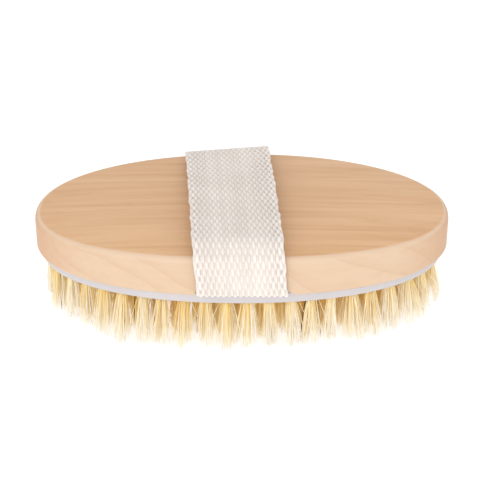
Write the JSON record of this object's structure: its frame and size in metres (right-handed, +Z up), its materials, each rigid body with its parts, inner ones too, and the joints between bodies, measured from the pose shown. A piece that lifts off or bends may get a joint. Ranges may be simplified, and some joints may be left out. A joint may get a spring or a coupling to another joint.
{
  "type": "body dry brush",
  "caption": "Oval hand-held dry body brush: wooden back, light tuft plate with rings of natural bristle tufts beneath, and a woven cotton hand strap over the top.",
  "frame": {"origin": "middle of the brush in plan, at the level of the bristle tips", "axes": "+X along the brush's length, +Y across it towards the rear, +Z up from the bristles to the hand strap"},
  "size_m": [0.125, 0.0688, 0.0391],
  "materials": {
    "beech": "smooth sanded, lightly waxed",
    "plate_plastic": "satin moulded",
    "webbing": "woven cotton webbing",
    "bristle": "natural boar bristle, pale at the tips",
    "anchor_wire": "drawn flat wire",
    "fastener_steel": "bright wire"
  },
  "bodies": {
    "root": {"wooden_back": "beech", "tuft_plate": "plate_plastic", "hand_strap": "webbing", "bristle_tufts_ring_1": "bristle", "bristle_tufts_ring_2": "bristle", "bristle_tufts_ring_3": "bristle", "bristle_tufts_ring_4": "bristle", "bristle_tufts_ring_5": "bristle", "bristle_tufts_centre_row": "bristle", "tuft_anchors_ring_1": "anchor_wire", "tuft_anchors_ring_2": "anchor_wire", "tuft_anchors_ring_3": "anchor_wire", "tuft_anchors_ring_4": "anchor_wire", "tuft_anchors_ring_5": "anchor_wire", "tuft_anchors_centre_row": "anchor_wire", "strap_staple_front_left": "fastener_steel", "strap_staple_front_right": "fastener_steel", "strap_staple_rear_left": "fastener_steel", "strap_staple_rear_right": "fastener_steel", "plate_nail_right": "fastener_steel", "plate_nail_front_right": "fastener_steel", "plate_nail_front_left": "fastener_steel", "plate_nail_left": "fastener_steel", "plate_nail_rear_left": "fastener_steel", "plate_nail_rear_right": "fastener_steel"}
  },
  "joints": []
}
